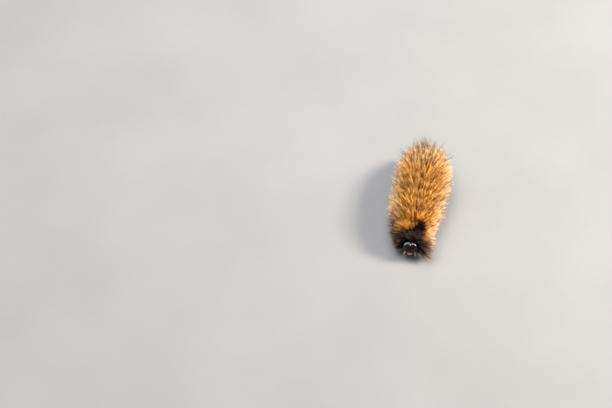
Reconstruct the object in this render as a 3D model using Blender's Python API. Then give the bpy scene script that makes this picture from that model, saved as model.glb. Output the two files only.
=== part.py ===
"""Tiger moth larva, a woolly bear, as a still life-size model that stands on its legs.

The head is at -Y, +Z is up, and the origin is on the floor under the middle of the coat.
Sizes are in metres. A place on the trunk is given by its distance behind the collar, called
along, and by its angle round the trunk from the back's ridge, called turn, positive to +X,
which is the larva's own left side.
"""

import math
import random

import bmesh
import bpy
from mathutils import Vector

MM = 0.001
GAP = 0.25 * MM
TAILWARD = Vector((0.0, 1.0, 0.0))

# Lengths of the trunk's segments, from the collar to the tail.
SEGMENT_LENGTHS = {
    "T1": 1.6 * MM,
    "T2": 1.8 * MM,
    "T3": 2.0 * MM,
    "A1": 2.0 * MM,
    "A2": 2.0 * MM,
    "A3": 2.1 * MM,
    "A4": 2.1 * MM,
    "A5": 2.1 * MM,
    "A6": 2.1 * MM,
    "A7": 2.0 * MM,
    "A8": 1.8 * MM,
    "A9": 1.2 * MM,
    "A10": 1.2 * MM,
}
TRUNK_LENGTH = sum(SEGMENT_LENGTHS.values())

# Where the trunk is parted into nodes, named by the first segment of each.
TRUNK_NODES = {
    "prothorax": "T1",
    "thorax": "T2",
    "abdomen_front": "A1",
    "abdomen_middle": "A4",
    "abdomen_rear": "A7",
    "tail": "A9",
}

# The trunk's half width, at shares of its length.
BODY_RADIUS = (
    (-0.01, 1.00 * MM),
    (0.03, 1.50 * MM),
    (0.10, 1.95 * MM),
    (0.22, 2.45 * MM),
    (0.40, 2.72 * MM),
    (0.60, 2.78 * MM),
    (0.76, 2.60 * MM),
    (0.87, 2.20 * MM),
    (0.94, 1.65 * MM),
    (0.98, 1.10 * MM),
    (1.00, 0.60 * MM),
)
BELLY_FLATNESS = 0.86
BELLY_CLEARANCE = 0.95 * MM
TAIL_LIFT = 0.75 * MM
TAIL_LIFT_START = 0.85
SIDE_BEND = 0.45 * MM
TRUNK_SIDES = 24
RING_STEP = 0.7 * MM
# Rings that round off an end of the trunk: how wide each is, and how far past the end.
END_DOME = ((0.72, 0.16 * MM), (0.35, 0.24 * MM))

# The coat: the length of its hairs and how far they lean to the tail, at shares of the trunk.
HAIR_LENGTH = (
    (0.00, 1.9 * MM),
    (0.08, 2.6 * MM),
    (0.20, 3.3 * MM),
    (0.45, 4.0 * MM),
    (0.70, 4.3 * MM),
    (0.88, 4.0 * MM),
    (1.00, 3.1 * MM),
)
HAIR_LEAN = (
    (0.00, math.radians(-44)),
    (0.07, math.radians(-24)),
    (0.15, math.radians(-4)),
    (0.25, math.radians(14)),
    (0.45, math.radians(26)),
    (0.75, math.radians(36)),
    (0.88, math.radians(50)),
    (0.95, math.radians(66)),
    (1.00, math.radians(82)),
)
HAIR_BEND = math.radians(36)
HAIR_STEPS = 8
COAT_EDGE = math.radians(122)
COAT_FADE = math.radians(34)
# The matted core reaches this share of the way to the hairs' tips.
CORE_SHARE = 0.42

# A lock of hairs. The stations are its place from root to tip, its width and its thickness.
LOCK_WIDTH = 1.35 * MM
LOCK_THICKNESS = 0.56 * MM
LOCK_STATIONS = ((0.0, 0.8, 1.0), (0.46, 1.0, 1.0), (0.76, 0.66, 0.9))
LOCK_ROOT_DEPTH = 0.3 * MM
LOCK_PITCH = 1.32 * MM
# Rows of locks are this far apart where the hairs lie flat, and closer where they stand.
LOCK_ROW_STEP = 1.46 * MM
LOCK_ROW_CLOSER = 0.46 * MM
LOCK_SPREAD = math.radians(12)
LOCK_LENGTH_RANGE = (0.88, 1.06)
LOCK_WIDTH_RANGE = (0.85, 1.12)
LOCK_PLACE_DRIFT = 0.2
LOCK_FLOOR_CLEARANCE = 0.75 * MM
LOCK_PARTING_CLEARANCE = 0.30 * MM
COAT_SEED = 6

# Parting surfaces follow the hairs from near the axis out past their tips.
PARTING_REACH = 2.2
PARTING_SIDES = 40
PARTING_INNER = 0.05 * MM
# A node's core starts and ends this far past its partings before it is cut.
CORE_BEFORE = 0.9 * MM
CORE_BEHIND = 1.9 * MM
# A union of locks leaves many slivers, and the node keeps this share of its triangles.
KEPT_TRIANGLES = 0.55

HEAD_HALF = Vector((1.58 * MM, 1.20 * MM, 1.38 * MM))
HEAD_CENTRE = Vector((0.10 * MM, -0.76 * MM, 2.50 * MM))
HEAD_FRONT = HEAD_CENTRE.y - HEAD_HALF.y
HEAD_SIDES = 24
HEAD_LEVELS = 14
HEAD_CLEFT = 0.13
HEAD_CLEFT_WIDTH = 0.30 * MM
CHEEK_SWELL = 0.05
CHEEK_LEVEL = -0.2
CHEEK_HEIGHT = 0.35

# The small eyes on each side, at shares of the head's half width and half height.
STEMMA_RADIUS = 0.15 * MM
STEMMA_SPOTS = ((0.84, -0.02), (0.80, -0.17), (0.72, -0.30), (0.62, -0.40), (0.84, -0.34), (0.66, -0.18))

LABRUM_HALF = (0.62 * MM, 0.27 * MM, 0.38 * MM)
LABRUM_BACK = 0.50 * MM
LABRUM_HEIGHT = 1.22 * MM
MANDIBLE_HALF = (0.30 * MM, 0.40 * MM, 0.42 * MM)
MANDIBLE_ASIDE = 0.43 * MM
MANDIBLE_BACK = 1.22 * MM
MANDIBLE_HEIGHT = 0.90 * MM

# The feeler's two joints, as places along it and half widths.
ANTENNA_SPOT = (0.58, -0.66)
ANTENNA_SHAPE = (
    (-0.20 * MM, 0.27 * MM),
    (0.40 * MM, 0.26 * MM),
    (0.46 * MM, 0.19 * MM),
    (0.72 * MM, 0.17 * MM),
    (0.82 * MM, 0.10 * MM),
)
ANTENNA_WAY = Vector((0.35, -0.55, -0.60))
ANTENNA_SIDES = 8

# A true leg's half width at shares of its length, and where it bends and ends.
LEG_SHAPE = (
    (0.00, 0.50 * MM),
    (0.22, 0.47 * MM),
    (0.30, 0.36 * MM),
    (0.50, 0.40 * MM),
    (0.60, 0.29 * MM),
    (0.80, 0.31 * MM),
    (1.00, 0.26 * MM),
)
LEG_SIDES = 9
LEG_TURN = 0.62
LEG_DEPTH = 0.7
LEG_KNEE = Vector((1.0 * MM, -0.35 * MM, -0.35 * MM))
LEG_FOOT_ASIDE = 0.15 * MM
LEG_FOOT_FORWARD = 0.75 * MM

PROLEG_SHAPE = (
    (0.00, 0.84 * MM),
    (0.35, 0.80 * MM),
    (0.62, 0.58 * MM),
    (0.82, 0.50 * MM),
    (1.00, 0.52 * MM),
)
PROLEG_SIDES = 12
PROLEG_SPREAD = 1.42 * MM
PROLEG_SPLAY = 0.8
PROLEG_DEPTH = 0.2
CLASPER_SPREAD = 0.95 * MM
CLASPER_BACKWARD = 0.5 * MM

# Colour and roughness of each finish.
FINISHES = {
    "coat": ((0.62, 0.30, 0.075), 0.7),
    "collar_coat": ((0.075, 0.045, 0.030), 0.7),
    "horn": ((0.008, 0.008, 0.010), 0.15),
    "mouth": ((0.42, 0.24, 0.12), 0.45),
    "proleg": ((0.10, 0.065, 0.050), 0.6),
}
SHARP_EDGE = math.radians(40)


def clear_scene():
    for obj in list(bpy.data.objects):
        bpy.data.objects.remove(obj, do_unlink=True)


def make_material(name):
    colour, roughness = FINISHES[name]
    material = bpy.data.materials.new(name)
    material.use_nodes = True
    shader = material.node_tree.nodes["Principled BSDF"]
    shader.inputs["Base Color"].default_value = (*colour, 1.0)
    shader.inputs["Roughness"].default_value = roughness
    shader.inputs["Metallic"].default_value = 0.0
    return material


def smooth_through(keys, x):
    """The value at x of a smooth curve through keys, which are pairs of place and value."""
    if x <= keys[0][0]:
        return keys[0][1]
    if x >= keys[-1][0]:
        return keys[-1][1]
    i = next(n for n in range(len(keys) - 1) if x <= keys[n + 1][0])

    def slope(n):
        before, after = keys[max(n - 1, 0)], keys[min(n + 1, len(keys) - 1)]
        return (after[1] - before[1]) / (after[0] - before[0])

    (x0, y0), (x1, y1) = keys[i], keys[i + 1]
    width = x1 - x0
    t = (x - x0) / width
    rise = (2 * t**3 - 3 * t**2 + 1) * y0 + (3 * t**2 - 2 * t**3) * y1
    return rise + width * ((t**3 - 2 * t**2 + t) * slope(i) + (t**3 - t**2) * slope(i + 1))


def segment_start(segment):
    """How far behind the collar a segment starts."""
    names = list(SEGMENT_LENGTHS)
    return sum(SEGMENT_LENGTHS[name] for name in names[: names.index(segment)])


def segment_middle(segment):
    return segment_start(segment) + SEGMENT_LENGTHS[segment] / 2


def body_radius(along):
    return smooth_through(BODY_RADIUS, along / TRUNK_LENGTH)


def axis_point(along):
    """The middle of the trunk at a distance behind the collar, before the origin is set."""
    share = along / TRUNK_LENGTH
    tail_share = max(0.0, (share - TAIL_LIFT_START) / (1 - TAIL_LIFT_START))
    height = BELLY_CLEARANCE + BELLY_FLATNESS * body_radius(along) + TAIL_LIFT * tail_share**2
    side = SIDE_BEND * (1 - (2 * share - 1) ** 2)
    return Vector((side, along, height))


def outward(turn):
    """The direction out of the trunk at an angle round it."""
    drop = 1.0 if math.cos(turn) > 0 else BELLY_FLATNESS
    return Vector((math.sin(turn), 0.0, math.cos(turn) * drop))


def trunk_point(along, turn, radius):
    return axis_point(along) + outward(turn) * radius


def coat_cover(turn):
    """1 where the coat is full, falling to 0 under the belly."""
    over = (abs(turn) - COAT_EDGE) / COAT_FADE
    return 0.5 * (1 + math.cos(math.pi * min(max(over + 0.5, 0.0), 1.0)))


def hair_length(along):
    return smooth_through(HAIR_LENGTH, along / TRUNK_LENGTH)


def hair_lean(along):
    return smooth_through(HAIR_LEAN, along / TRUNK_LENGTH)


def core_radius(along, turn):
    """The matted inner part of the coat, which reaches less than half way to the hairs' tips."""
    rise = CORE_SHARE * hair_length(along) * math.cos(hair_lean(along))
    return body_radius(along) + rise * coat_cover(turn)


def hair_curve(length, lean):
    """Pairs of height out of the trunk and distance to the tail, along one bent hair."""
    height = shift = 0.0
    pairs = [(height, shift)]
    for n in range(HAIR_STEPS):
        angle = lean + HAIR_BEND * ((n + 0.5) / HAIR_STEPS - 0.5)
        height += math.cos(angle) * length / HAIR_STEPS
        shift += math.sin(angle) * length / HAIR_STEPS
        pairs.append((height, shift))
    return pairs


def new_object(name, verts, faces):
    mesh = bpy.data.meshes.new(name)
    mesh.from_pydata([tuple(v) for v in verts], [], faces)
    obj = bpy.data.objects.new(name, mesh)
    bpy.context.scene.collection.objects.link(obj)
    return obj


def tube_faces(rings, sides):
    """The side faces of rings of points that follow one another, as quads."""
    faces = []
    for r in range(rings - 1):
        for k in range(sides):
            k2 = (k + 1) % sides
            faces.append((r * sides + k, r * sides + k2, (r + 1) * sides + k2, (r + 1) * sides + k))
    return faces


def point_outwards(obj):
    """Splits a closed mesh into triangles, which a union needs to stay sound, and faces it outwards."""
    bm = bmesh.new()
    bm.from_mesh(obj.data)
    bmesh.ops.triangulate(bm, faces=bm.faces)
    bmesh.ops.recalc_face_normals(bm, faces=bm.faces)
    if bm.calc_volume(signed=True) < 0:
        bmesh.ops.reverse_faces(bm, faces=bm.faces)
    bm.to_mesh(obj.data)
    bm.free()
    return obj


def closed_tube(name, rings):
    """A closed body through rings of points of equal count, with flat ends."""
    sides = len(rings[0])
    verts = [point for ring in rings for point in ring]
    last = (len(rings) - 1) * sides
    faces = tube_faces(len(rings), sides)
    faces += [tuple(range(sides - 1, -1, -1)), tuple(range(last, last + sides))]
    return point_outwards(new_object(name, verts, faces))


def trunk_body(name, start, end, margin=0.0):
    """A length of the trunk with its core, grown by margin, with a shallow dome at each end."""
    count = max(2, round((end - start) / RING_STEP))
    turns = [2 * math.pi * (k / TRUNK_SIDES - 0.5) for k in range(TRUNK_SIDES)]
    rings = []
    for n in range(count + 1):
        along = start + (end - start) * n / count
        rings.append([trunk_point(along, turn, core_radius(along, turn) + margin) for turn in turns])
    for ring, way in ((rings[0], -1), (rings[-1], 1)):
        middle = sum(ring, Vector()) / len(ring)
        for share, push in END_DOME:
            small = [middle + (p - middle) * share + TAILWARD * way * (push + margin) for p in ring]
            rings.insert(0 if way < 0 else len(rings), small)
    return closed_tube(name, rings)


def ring_about(centre, across, other, radius, sides):
    """Points of a circle about centre, in the plane of across and other."""
    spin = [2 * math.pi * k / sides for k in range(sides)]
    return [centre + (across * math.cos(a) + other * math.sin(a)) * radius for a in spin]


def parting_cutter(name, along, keep_front):
    """Cuts away all that lies behind, or before, a surface that follows the lie of the hairs."""
    lean = hair_lean(along)
    root = body_radius(along) - LOCK_ROOT_DEPTH
    reach = PARTING_REACH * hair_length(along)
    way = -1 if keep_front else 1
    far = along - way * (TRUNK_LENGTH + reach)
    profile = [(PARTING_INNER, along + way * GAP / 2)]
    for height, shift in hair_curve(reach, lean):
        profile.append((root + height, along + shift + way * GAP / 2 / math.cos(lean)))
    profile += [(profile[-1][0], far), (PARTING_INNER, far)]
    centre = axis_point(along)
    rings = []
    for radius, place in profile:
        middle = Vector((centre.x, place, centre.z))
        rings.append(ring_about(middle, Vector((0, 0, 1)), Vector((1, 0, 0)), radius, PARTING_SIDES))
    return closed_tube(name, rings)


def apply_modifier(obj):
    """Gives obj the shape that its modifier makes, and drops the modifier."""
    graph = bpy.context.evaluated_depsgraph_get()
    mesh = bpy.data.meshes.new_from_object(obj.evaluated_get(graph))
    obj.modifiers.clear()
    obj.data = mesh
    return obj


def combine(obj, others, operation):
    """Joins or cuts obj with the other objects, and removes them."""
    group = bpy.data.collections.new(obj.name + "_pieces")
    bpy.context.scene.collection.children.link(group)
    for other in others:
        group.objects.link(other)
    modifier = obj.modifiers.new(operation.title(), "BOOLEAN")
    modifier.operand_type = "COLLECTION"
    modifier.collection = group
    modifier.operation = operation
    # The exact solver leaves open edges where hundreds of locks cross.
    modifier.solver = "MANIFOLD"
    apply_modifier(obj)
    for other in others:
        bpy.data.objects.remove(other, do_unlink=True)
    bpy.data.collections.remove(group)
    return obj


def keep_largest(obj):
    """Keeps the largest closed surface of a mesh, which drops loose scraps and sealed hollows."""
    bm = bmesh.new()
    bm.from_mesh(obj.data)
    bmesh.ops.triangulate(bm, faces=bm.faces)
    unseen = set(bm.faces)
    islands = []
    while unseen:
        stack = [unseen.pop()]
        island = [stack[0]]
        while stack:
            for edge in stack.pop().edges:
                for face in edge.link_faces:
                    if face in unseen:
                        unseen.remove(face)
                        stack.append(face)
                        island.append(face)
        islands.append(island)

    def volume(island):
        corners = [[loop.vert.co for loop in face.loops] for face in island]
        return sum(a.dot(b.cross(c)) for a, b, c in corners) / 6

    best = max(islands, key=volume)
    for island in islands:
        if island is not best:
            bmesh.ops.delete(bm, geom=island, context="FACES")
    loose = [vert for vert in bm.verts if not vert.link_faces]
    bmesh.ops.delete(bm, geom=loose, context="VERTS")
    bm.to_mesh(obj.data)
    bm.free()
    return obj


def drop_slivers(obj):
    """Joins up the many narrow triangles that a union of locks leaves, and keeps the shape."""
    modifier = obj.modifiers.new("Slivers", "DECIMATE")
    modifier.ratio = KEPT_TRIANGLES
    return apply_modifier(obj)


def finish(obj, material):
    obj.data.materials.clear()
    obj.data.materials.append(material)
    obj.data.shade_smooth()
    obj.data.set_sharp_from_angle(angle=SHARP_EDGE)
    return obj


def make_lock(name, along, turn, size, lean, twist):
    """One flat lock with a low ridge, which bends to the tail and tapers to its tip."""
    length, width = size
    across = Vector((math.cos(turn), 0.0, -math.sin(turn)))
    out = (outward(turn).normalized() + across * math.sin(twist)).normalized()
    across = (across - out * across.dot(out)).normalized()
    root = trunk_point(along, turn, body_radius(along) - LOCK_ROOT_DEPTH)
    pairs = hair_curve(length + LOCK_ROOT_DEPTH, lean)

    def place(share):
        n = min(int(share * HAIR_STEPS), HAIR_STEPS - 1)
        part = share * HAIR_STEPS - n
        height = pairs[n][0] + (pairs[n + 1][0] - pairs[n][0]) * part
        shift = pairs[n][1] + (pairs[n + 1][1] - pairs[n][1]) * part
        point = root + out * height + TAILWARD * shift
        point.z = max(point.z, LOCK_FLOOR_CLEARANCE)
        return point

    rings = []
    near = 0.5 / HAIR_STEPS
    for share, wide, thick in LOCK_STATIONS:
        centre = place(share)
        way = (place(share + near) - place(max(share - near, 0.0))).normalized()
        side = (across - way * across.dot(way)).normalized()
        half = side * width * wide / 2
        ridge = side.cross(way) * LOCK_THICKNESS * thick
        rings.append([centre + half, centre + ridge, centre - half])
    verts = [point for ring in rings for point in ring] + [place(1.0)]
    tip = len(verts) - 1
    faces = tube_faces(len(rings), 3)
    faces.append((2, 1, 0))
    faces += [(tip - 3 + k, tip - 3 + (k + 1) % 3, tip) for k in range(3)]
    return point_outwards(new_object(name, verts, faces))


def locks_between(name, start, end, draw):
    """Rows of locks round a length of the trunk, from just behind start to just before end."""
    locks = []
    room = end - start - 2 * LOCK_PARTING_CLEARANCE
    standing = math.cos(hair_lean((start + end) / 2))
    rows = max(2, round(room / (LOCK_ROW_STEP - LOCK_ROW_CLOSER * standing)) + 1)
    for row in range(rows):
        along = start + LOCK_PARTING_CLEARANCE + room * row / (rows - 1)
        half_round = COAT_EDGE * (body_radius(along) + hair_length(along) / 2)
        count = round(2 * half_round / LOCK_PITCH)
        pitch = 2 * COAT_EDGE / count
        # Every other row is set off by half a pitch.
        first = 0.25 + 0.5 * (row % 2)
        for n in range(count):
            turn = (n + first) * pitch - COAT_EDGE
            turn += draw.uniform(-1, 1) * LOCK_PLACE_DRIFT * pitch
            lean = hair_lean(along) + draw.uniform(-0.5, 0.5) * LOCK_SPREAD
            length = hair_length(along) * draw.uniform(*LOCK_LENGTH_RANGE)
            twist = draw.uniform(-1, 1) * LOCK_SPREAD
            width = LOCK_WIDTH * draw.uniform(*LOCK_WIDTH_RANGE)
            locks.append(make_lock(f"{name}_lock", along, turn, (length, width), lean, twist))
    return locks


def head_body(name, margin=0.0):
    """The head capsule: two rounded lobes with a cleft down the crown between them."""
    verts = []
    for level in range(1, HEAD_LEVELS):
        tilt = math.pi * level / HEAD_LEVELS
        for k in range(HEAD_SIDES):
            spin = 2 * math.pi * k / HEAD_SIDES
            ray = Vector((math.sin(tilt) * math.sin(spin), math.sin(tilt) * math.cos(spin), math.cos(tilt)))
            point = Vector([ray[axis] * (HEAD_HALF[axis] + margin) for axis in range(3)])
            dip = HEAD_CLEFT * max(0.0, ray.z) * math.exp(-((point.x / HEAD_CLEFT_WIDTH) ** 2))
            swell = CHEEK_SWELL * abs(ray.x) * math.exp(-(((ray.z - CHEEK_LEVEL) / CHEEK_HEIGHT) ** 2))
            verts.append(HEAD_CENTRE + Vector((point.x * (1 + swell), point.y, point.z)) * (1 - dip))
    faces = tube_faces(HEAD_LEVELS - 1, HEAD_SIDES)
    top, bottom = len(verts), len(verts) + 1
    half_height = Vector((0, 0, HEAD_HALF.z + margin))
    verts.append(HEAD_CENTRE + half_height * (1 - HEAD_CLEFT))
    verts.append(HEAD_CENTRE - half_height)
    last = (HEAD_LEVELS - 2) * HEAD_SIDES
    faces += [(top, k, (k + 1) % HEAD_SIDES) for k in range(HEAD_SIDES)]
    faces += [(bottom, last + (k + 1) % HEAD_SIDES, last + k) for k in range(HEAD_SIDES)]
    return point_outwards(new_object(name, verts, faces))


def head_surface(aside, up):
    """A point on the front of the head, at shares of its half width and half height."""
    forward = math.sqrt(1 - aside**2 - up**2)
    return HEAD_CENTRE + Vector((aside * HEAD_HALF.x, -forward * HEAD_HALF.y, up * HEAD_HALF.z))


def ball(name, centre, half, sides, levels):
    """A closed ellipsoid."""
    bm = bmesh.new()
    bmesh.ops.create_uvsphere(bm, u_segments=sides, v_segments=levels, radius=1.0)
    for vert in bm.verts:
        vert.co = Vector([centre[axis] + vert.co[axis] * half[axis] for axis in range(3)])
    obj = new_object(name, [], [])
    bm.to_mesh(obj.data)
    bm.free()
    return obj


def stemmata():
    """Six small round eyes low on each side of the head."""
    eyes = []
    for side in (-1, 1):
        for aside, up in STEMMA_SPOTS:
            eyes.append(ball("stemma", head_surface(side * aside, up), [STEMMA_RADIUS] * 3, 8, 5))
    return eyes


def limb(name, points, radii, sides):
    """A round limb through points, with a flat sole at the last one."""
    rings = []
    for n, (centre, radius) in enumerate(zip(points, radii)):
        before, after = points[max(n - 1, 0)], points[min(n + 1, len(points) - 1)]
        way = (after - before).normalized()
        if n == len(points) - 1:
            way = Vector((0, 0, -1))
        across = way.cross(TAILWARD).normalized()
        rings.append(ring_about(centre, across, way.cross(across), radius, sides))
    return closed_tube(name, rings)


def on_curve(start, middle, end, share):
    """A point on the bent line from start to end that leans to middle."""
    return start * (1 - share) ** 2 + middle * 2 * share * (1 - share) + end * share**2


def cut_clear(obj, cutter):
    """Cuts obj clear of a neighbour, whose shape the cutter holds with the gap added."""
    return keep_largest(combine(obj, [cutter], "DIFFERENCE"))


def trunk_with_gap(name):
    return trunk_body(name + "_trunk", 0.0, TRUNK_LENGTH, GAP)


def make_leg(name, along, side):
    """A jointed true leg from the thorax to the floor, its foot turned in."""
    start = trunk_point(along, math.pi - side * LEG_TURN, body_radius(along) * LEG_DEPTH)
    knee = start + Vector((side * LEG_KNEE.x, LEG_KNEE.y, LEG_KNEE.z))
    foot = Vector((start.x + side * LEG_FOOT_ASIDE, along - LEG_FOOT_FORWARD, 0.0))
    points = [on_curve(start, knee, foot, share) for share, _ in LEG_SHAPE]
    leg = limb(name, points, [radius for _, radius in LEG_SHAPE], LEG_SIDES)
    return cut_clear(leg, trunk_with_gap(name))


def make_proleg(name, along, side, spread, backward):
    """A fleshy proleg with a flat sole."""
    centre = axis_point(along)
    depth = body_radius(along) * PROLEG_DEPTH
    start = Vector((centre.x + side * spread * PROLEG_SPLAY, along - backward, centre.z - depth))
    sole = Vector((centre.x + side * spread, along, 0.0))
    points = [start.lerp(sole, share) for share, _ in PROLEG_SHAPE]
    proleg = limb(name, points, [radius for _, radius in PROLEG_SHAPE], PROLEG_SIDES)
    return cut_clear(proleg, trunk_with_gap(name))


def make_mouth_part(name, aside, back, height, half):
    """A rounded part of the mouth, cut clear of the head."""
    part = ball(name, Vector((HEAD_CENTRE.x + aside, HEAD_FRONT + back, height)), half, 12, 8)
    return cut_clear(part, head_body(name + "_head", GAP))


def make_antenna(name, side):
    """A short feeler at the foot of the cheek."""
    root = head_surface(side * ANTENNA_SPOT[0], ANTENNA_SPOT[1])
    way = Vector((side * ANTENNA_WAY.x, ANTENNA_WAY.y, ANTENNA_WAY.z)).normalized()
    across = way.cross(Vector((0, 0, 1))).normalized()
    other = way.cross(across)
    rings = []
    for place, radius in ANTENNA_SHAPE:
        rings.append(ring_about(root + way * place, across, other, radius, ANTENNA_SIDES))
    return cut_clear(closed_tube(name, rings), head_body(name + "_head", GAP))


def make_trunk(materials):
    """The trunk's nodes, each a length of core with its locks, parted along the lie of the coat."""
    names = list(TRUNK_NODES)
    starts = [segment_start(TRUNK_NODES[name]) for name in names] + [TRUNK_LENGTH]
    draw = random.Random(COAT_SEED)
    for n, name in enumerate(names):
        start, end = starts[n], starts[n + 1]
        node = trunk_body(name, max(0.0, start - CORE_BEFORE), min(TRUNK_LENGTH, end + CORE_BEHIND))
        combine(node, locks_between(name, start, end, draw), "UNION")
        if n > 0:
            combine(node, [parting_cutter(name + "_front", start, keep_front=False)], "DIFFERENCE")
        else:
            combine(node, [head_body(name + "_head", GAP)], "DIFFERENCE")
        if n < len(names) - 1:
            combine(node, [parting_cutter(name + "_rear", end, keep_front=True)], "DIFFERENCE")
        drop_slivers(keep_largest(node))
        finish(node, materials["collar_coat" if n == 0 else "coat"])


def make_head(materials):
    """The head with its eyes, mouth and feelers."""
    head = combine(head_body("head"), stemmata(), "UNION")
    finish(cut_clear(head, trunk_with_gap("head")), materials["horn"])
    labrum = make_mouth_part("labrum", 0.0, LABRUM_BACK, LABRUM_HEIGHT, LABRUM_HALF)
    finish(labrum, materials["mouth"])
    for side, word in ((1, "left"), (-1, "right")):
        mandible = make_mouth_part(
            f"mandible_{word}", side * MANDIBLE_ASIDE, MANDIBLE_BACK, MANDIBLE_HEIGHT, MANDIBLE_HALF
        )
        finish(mandible, materials["horn"])
        finish(make_antenna(f"antenna_{word}", side), materials["mouth"])


def make_limbs(materials):
    """Three pairs of true legs, four of prolegs and the tail's claspers."""
    for side, word in ((1, "left"), (-1, "right")):
        for number, segment in enumerate(("T1", "T2", "T3"), 1):
            finish(make_leg(f"leg_{number}_{word}", segment_middle(segment), side), materials["horn"])
        for segment in ("A3", "A4", "A5", "A6"):
            name = f"proleg_{segment.lower()}_{word}"
            proleg = make_proleg(name, segment_middle(segment), side, PROLEG_SPREAD, 0.0)
            finish(proleg, materials["proleg"])
        along = segment_middle("A10")
        clasper = make_proleg(f"clasper_{word}", along, side, CLASPER_SPREAD, CLASPER_BACKWARD)
        finish(clasper, materials["proleg"])


def centre_on_origin():
    """Moves the whole larva so that the origin is under the middle of its box."""
    nodes = [obj for obj in bpy.data.objects if obj.type == "MESH"]
    points = [vert.co for obj in nodes for vert in obj.data.vertices]
    middle = [(min(p[axis] for p in points) + max(p[axis] for p in points)) / 2 for axis in range(2)]
    for obj in nodes:
        for vert in obj.data.vertices:
            vert.co -= Vector((middle[0], middle[1], 0.0))


def main():
    clear_scene()
    materials = {name: make_material(name) for name in FINISHES}
    make_trunk(materials)
    make_head(materials)
    make_limbs(materials)
    centre_on_origin()


main()
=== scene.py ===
import math

import bpy
import numpy as np
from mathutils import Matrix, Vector


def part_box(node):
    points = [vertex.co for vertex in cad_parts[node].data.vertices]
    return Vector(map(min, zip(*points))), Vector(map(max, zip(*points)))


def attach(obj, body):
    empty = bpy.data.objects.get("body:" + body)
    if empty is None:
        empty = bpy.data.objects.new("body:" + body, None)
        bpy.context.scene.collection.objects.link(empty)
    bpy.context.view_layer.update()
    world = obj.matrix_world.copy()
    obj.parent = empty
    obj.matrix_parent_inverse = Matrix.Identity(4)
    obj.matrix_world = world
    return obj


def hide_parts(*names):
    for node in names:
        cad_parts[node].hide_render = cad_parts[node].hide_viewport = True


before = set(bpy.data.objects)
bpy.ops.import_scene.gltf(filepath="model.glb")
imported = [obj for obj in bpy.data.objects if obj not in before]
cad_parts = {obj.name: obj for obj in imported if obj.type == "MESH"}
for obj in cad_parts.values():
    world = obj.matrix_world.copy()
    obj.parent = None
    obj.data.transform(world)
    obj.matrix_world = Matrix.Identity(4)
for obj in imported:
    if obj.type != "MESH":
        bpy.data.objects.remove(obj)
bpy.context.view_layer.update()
print("frame loaded:", len(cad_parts), "nodes")

# Everything is modelled in millimetres behind the collar, and settle() brings it to the row frame.
# A place on the trunk is its distance behind the collar, along, and its angle from the back's
# ridge, turn, which is positive to the larva's own left.
mm = 0.001
tailward = np.array((0.0, 1.0, 0.0))

trunk = {
    "segments": {
        "T1": 1.6, "T2": 1.8, "T3": 2.0, "A1": 2.0, "A2": 2.0, "A3": 2.1, "A4": 2.1,
        "A5": 2.1, "A6": 2.1, "A7": 2.0, "A8": 1.8, "A9": 1.2, "A10": 1.2,
    },
    "length": 24.0,
    "halfWidth": [
        (-0.01, 1.00), (0.03, 1.50), (0.10, 1.95), (0.22, 2.45), (0.40, 2.72), (0.60, 2.78),
        (0.76, 2.60), (0.87, 2.20), (0.94, 1.65), (0.98, 1.10), (1.00, 0.60),
    ],
    "bellyFlatness": 0.86,
    "bellyClearance": 0.95,
    "tailLift": 0.75,
    "tailLiftStart": 0.85,
    "sideBend": 0.45,
}


def smoothThrough(keys, x):
    # the value at x of a smooth curve through pairs of place and value
    places, values = np.array(keys, float).T
    x = np.clip(np.asarray(x, float), places[0], places[-1])
    last = len(places) - 1
    before, after = np.maximum(np.arange(-1, last), 0), np.minimum(np.arange(1, last + 2), last)
    slopes = (values[after] - values[before]) / (places[after] - places[before])
    i = np.clip(np.searchsorted(places, x) - 1, 0, last - 1)
    width = places[i + 1] - places[i]
    t = (x - places[i]) / width
    rise = (2 * t**3 - 3 * t**2 + 1) * values[i] + (3 * t**2 - 2 * t**3) * values[i + 1]
    return rise + width * ((t**3 - 2 * t**2 + t) * slopes[i] + (t**3 - t**2) * slopes[i + 1])


def fadeIn(x, start, end):
    # 0 before start, 1 after end, smooth between
    t = np.clip((np.asarray(x, float) - start) / (end - start), 0.0, 1.0)
    return t * t * (3 - 2 * t)


def bodyRadius(along):
    return smoothThrough(trunk["halfWidth"], np.asarray(along, float) / trunk["length"])


def axisPoint(along):
    share = np.asarray(along, float) / trunk["length"]
    lift = np.clip((share - trunk["tailLiftStart"]) / (1 - trunk["tailLiftStart"]), 0.0, None)
    height = trunk["bellyClearance"] + trunk["bellyFlatness"] * bodyRadius(along)
    side = trunk["sideBend"] * (1 - (2 * share - 1) ** 2)
    return np.stack([side, share * trunk["length"], height + trunk["tailLift"] * lift**2], -1)


def outward(turn):
    drop = np.where(np.cos(turn) > 0, 1.0, trunk["bellyFlatness"])
    return np.stack([np.sin(turn), np.zeros_like(turn), np.cos(turn) * drop], -1)


def trunkPoint(along, turn, radius):
    return axisPoint(along) + outward(turn) * np.asarray(radius)[..., None]


def trunkPlace(points):
    # the along and turn of points on or near the trunk
    along = np.clip(points[:, 1], 0.0, trunk["length"])
    middle = axisPoint(along)
    return along, np.arctan2(points[:, 0] - middle[:, 0], points[:, 2] - middle[:, 2])


def segmentStart(segment):
    names = list(trunk["segments"])
    return sum(trunk["segments"][name] for name in names[: names.index(segment)])


def segmentMiddle(segment):
    return segmentStart(segment) + trunk["segments"][segment] / 2


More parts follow.
